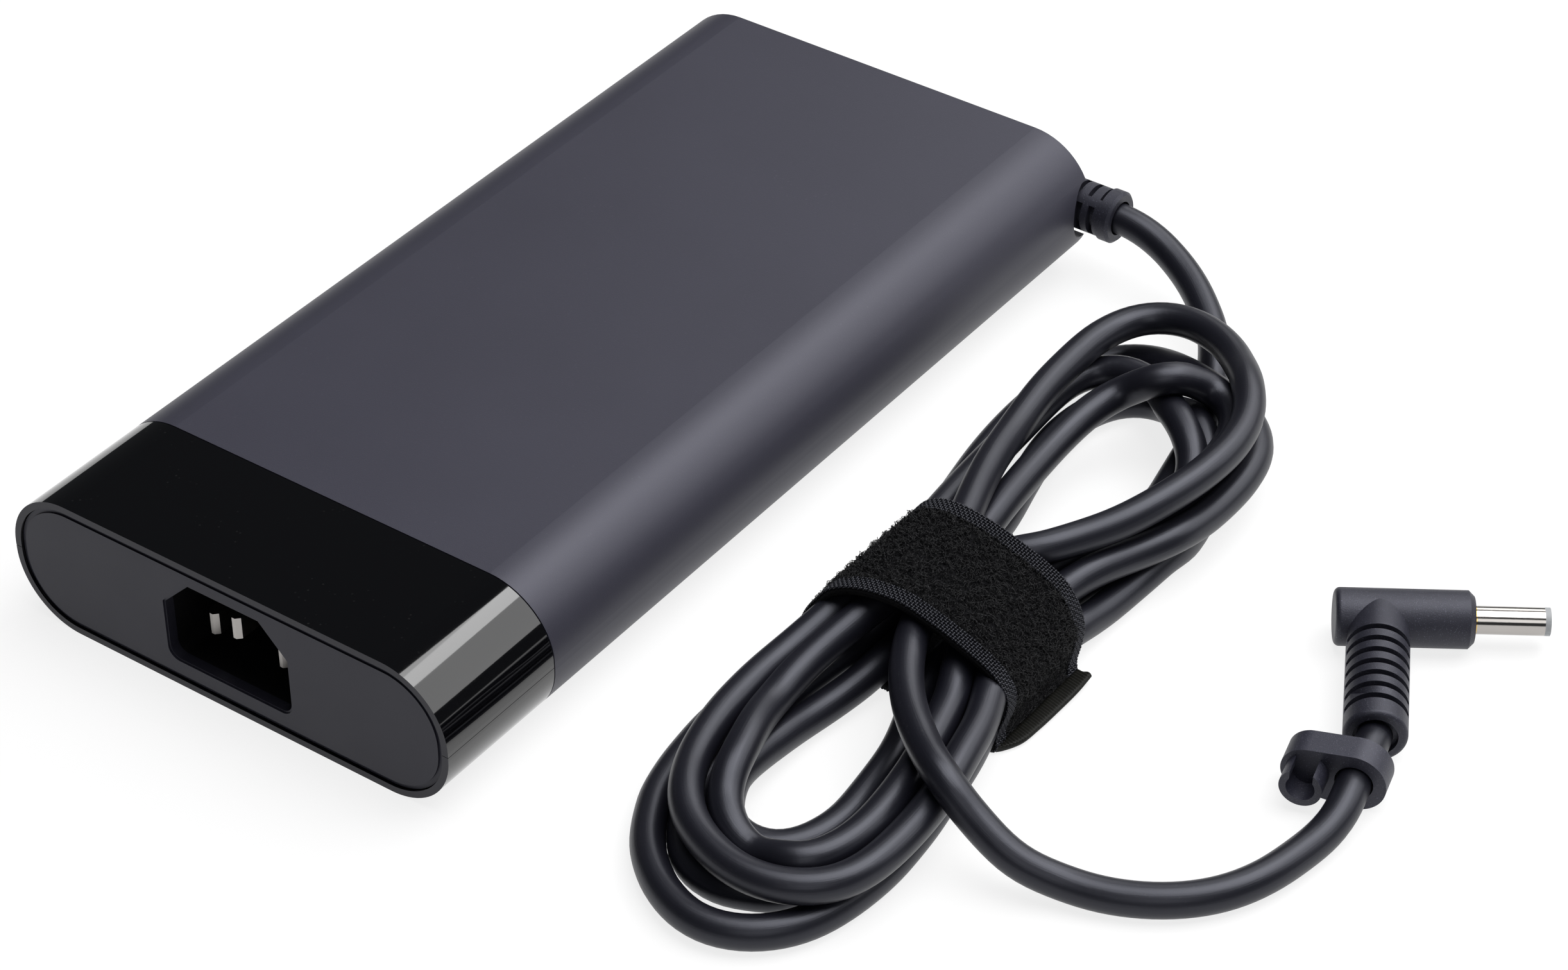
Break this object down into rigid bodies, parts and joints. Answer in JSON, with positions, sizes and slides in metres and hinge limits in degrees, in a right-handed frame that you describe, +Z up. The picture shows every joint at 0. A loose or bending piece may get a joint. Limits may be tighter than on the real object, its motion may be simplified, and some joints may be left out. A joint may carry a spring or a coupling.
{
  "type": "laptop power adapter",
  "caption": "Slim rounded power adapter with a recessed mains inlet, a strapped output cord, a cord clip and a right-angle barrel plug.",
  "frame": {"origin": "middle of the housing's underside; the cord, strap, clip and plug are not counted", "axes": "+Y runs along the housing from the mains inlet to the cord end, +Z is up, +X is the side that the cord leaves by"},
  "size_m": [0.204, 0.184, 0.0254],
  "materials": {
    "housing": "satin, very fine grain",
    "end_trim": "piano black",
    "faceplate": "satin",
    "socket": "matte moulded",
    "contact": "nickel plated",
    "spreader": "rolled sheet",
    "insulation": "fish paper",
    "board": "solder mask",
    "fuse": "glass tube",
    "film_capacitor": "box capacitor",
    "toroid": "powder coated core",
    "copper": "enamelled copper",
    "package": "epoxy",
    "winding_tape": "polyester tape",
    "capacitor_can": "sleeved can",
    "heatsink": "extruded",
    "ferrite": "ground ferrite",
    "light_package": "epoxy",
    "wire": "insulated wire",
    "boot": "fine grain",
    "cord": "smooth satin",
    "strap": "woven loop tape",
    "hook_tape": "moulded hooks",
    "clip": "fine grain",
    "barrel": "nickel plated",
    "lining": "moulded grey",
    "pin_brass": "plated pin"
  },
  "bodies": {
    "adapter": {"top_cover": "housing", "bottom_cover": "housing", "top_end_trim": "end_trim", "bottom_end_trim": "end_trim", "inlet_faceplate": "faceplate", "inlet_socket": "socket", "line_pin": "contact", "neutral_pin": "contact", "earth_pin": "contact", "top_heat_spreader": "spreader", "bottom_heat_spreader": "spreader", "insulation_sheet": "insulation", "circuit_board": "board", "fuse": "fuse", "x_capacitor": "film_capacitor", "line_choke_core": "toroid", "line_choke_windings": "copper", "bridge_rectifier": "package", "boost_inductor": "winding_tape", "bulk_capacitor": "capacitor_can", "primary_heatsink": "heatsink", "power_transistors": "package", "transformer_core": "ferrite", "transformer_winding": "winding_tape", "secondary_heatsink": "heatsink", "output_capacitors": "capacitor_can", "optocouplers": "light_package", "output_leads": "wire", "strain_relief": "boot", "cord_lead": "cord", "cord_hank": "cord", "cord_tail": "cord", "strap_band": "strap", "plug_boot": "boot", "plug_barrel": "barrel", "plug_insulator": "lining", "plug_centre_pin": "pin_brass"},
    "clip": {"cord_clip": "clip"},
    "strap_end": {"strap_tab": "hook_tape"}
  },
  "joints": [
    {"name": "clip_swivel", "type": "hinge", "parent": "adapter", "child": "clip", "pos_m": [0.1518, -0.006, 0.005], "axis": [-0.247, 0.969, 0], "continuous": true},
    {"name": "strap_peel", "type": "hinge", "parent": "adapter", "child": "strap_end", "pos_m": [0.102, -0.0245, 0.0014], "axis": [0, -1, 0], "range_deg": [0, 70]}
  ]
}
